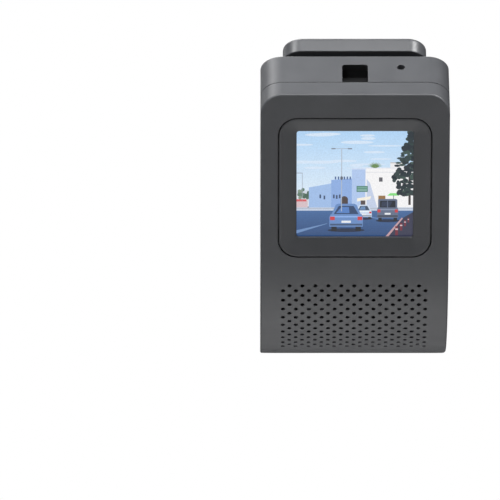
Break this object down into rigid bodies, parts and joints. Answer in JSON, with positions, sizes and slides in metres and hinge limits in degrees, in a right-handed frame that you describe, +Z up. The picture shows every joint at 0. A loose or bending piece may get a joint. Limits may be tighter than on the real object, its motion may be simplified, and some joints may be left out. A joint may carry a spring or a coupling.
{
  "type": "dash camera",
  "caption": "Wedge-shaped windscreen dash camera: tilting lens in front, square screen and speaker grille behind, buttons on one side, adhesive bracket on top.",
  "frame": {"origin": "centre of the adhesive face that meets the windscreen", "axes": "+Z up in use, -Y the way the lens looks, +X the side with the buttons; the windscreen slopes at 32 degrees, rising towards +Y"},
  "size_m": [0.058, 0.1028, 0.0961],
  "materials": {
    "charcoal_plastic": "satin, fine spark texture",
    "button_plastic": "satin",
    "black_plastic": "matte",
    "gloss_black": "polished",
    "adhesive_foam": "foam tape",
    "rubber_parts": "matte",
    "screw_steel": "plain",
    "aluminium_parts": "satin",
    "magnet_metal": "plated",
    "brass_parts": "plain",
    "clear_glass": "clear, coated",
    "lcd_glass": "clear",
    "board_green": "solder mask",
    "chip_black": "matte",
    "flex_film": "polyimide film",
    "light_diffuser": "translucent",
    "cone_film": "paper film"
  },
  "bodies": {
    "bracket": {"adhesive_pad": "adhesive_foam", "mount_plate": "charcoal_plastic", "slide_rail": "charcoal_plastic", "rail_screws": "screw_steel"},
    "camera_body": {"slide_base": "charcoal_plastic", "base_screws": "screw_steel", "front_housing": "charcoal_plastic", "rear_cover": "charcoal_plastic", "screen_frame": "black_plastic", "display_window": "clear_glass", "lcd_panel": "lcd_glass", "lcd_tray": "screw_steel", "lcd_flex": "flex_film", "main_board": "board_green", "processor": "chip_black", "thermal_pad": "rubber_parts", "heat_spreader": "aluminium_parts", "memory_chips": "chip_black", "shield_can": "screw_steel", "board_screws": "screw_steel", "io_board": "board_green", "port_insert": "black_plastic", "usb_socket": "screw_steel", "av_jack": "black_plastic", "board_link": "flex_film", "card_socket": "screw_steel", "button_panel": "charcoal_plastic", "status_led": "light_diffuser", "button_board": "board_green", "tact_switches": "screw_steel", "speaker_gasket": "rubber_parts", "speaker_frame": "black_plastic", "speaker_cone": "cone_film", "speaker_magnet": "magnet_metal", "grille_mesh": "black_plastic", "power_board": "board_green", "supercapacitors": "aluminium_parts", "microphone": "magnet_metal", "radio_antenna": "brass_parts", "tilt_yoke": "screw_steel", "yoke_screws": "screw_steel", "friction_washers": "screw_steel", "sensor_cable": "rubber_parts"},
    "lens_block": {"lens_housing": "charcoal_plastic", "lens_ring": "gloss_black", "lens_cone": "aluminium_parts", "lens_barrel": "black_plastic", "front_lens": "clear_glass", "inner_lenses": "clear_glass", "lens_holder": "black_plastic", "infrared_filter": "clear_glass", "image_sensor": "chip_black", "sensor_board": "board_green", "lens_back_cover": "charcoal_plastic", "pivot_pins": "screw_steel"},
    "ok_cap": {"ok_button": "button_plastic"},
    "power_cap": {"power_button": "button_plastic"},
    "reset_pin": {"reset_plunger": "black_plastic"},
    "card": {"memory_card": "black_plastic"}
  },
  "joints": [
    {"name": "bracket_slide", "type": "slide", "parent": "bracket", "child": "camera_body", "axis": [0, 0.848, 0.5299], "range_m": [0, 0.012]},
    {"name": "lens_tilt", "type": "hinge", "parent": "camera_body", "child": "lens_block", "pos_m": [0, -0.039, -0.05748], "axis": [1, 0, 0], "range_deg": [-18, 15]},
    {"name": "ok_press", "type": "slide", "parent": "camera_body", "child": "ok_cap", "axis": [-1, 0, 0], "range_m": [0, 0.0004], "stiffness_N_per_m": 3000},
    {"name": "power_press", "type": "slide", "parent": "camera_body", "child": "power_cap", "axis": [-1, 0, 0], "range_m": [0, 0.0004], "stiffness_N_per_m": 3000},
    {"name": "reset_press", "type": "slide", "parent": "camera_body", "child": "reset_pin", "axis": [-1, 0, 0], "range_m": [0, 0.0003], "stiffness_N_per_m": 2000},
    {"name": "card_slide", "type": "slide", "parent": "camera_body", "child": "card", "axis": [-1, 0, 0], "range_m": [0, 0.006]}
  ]
}
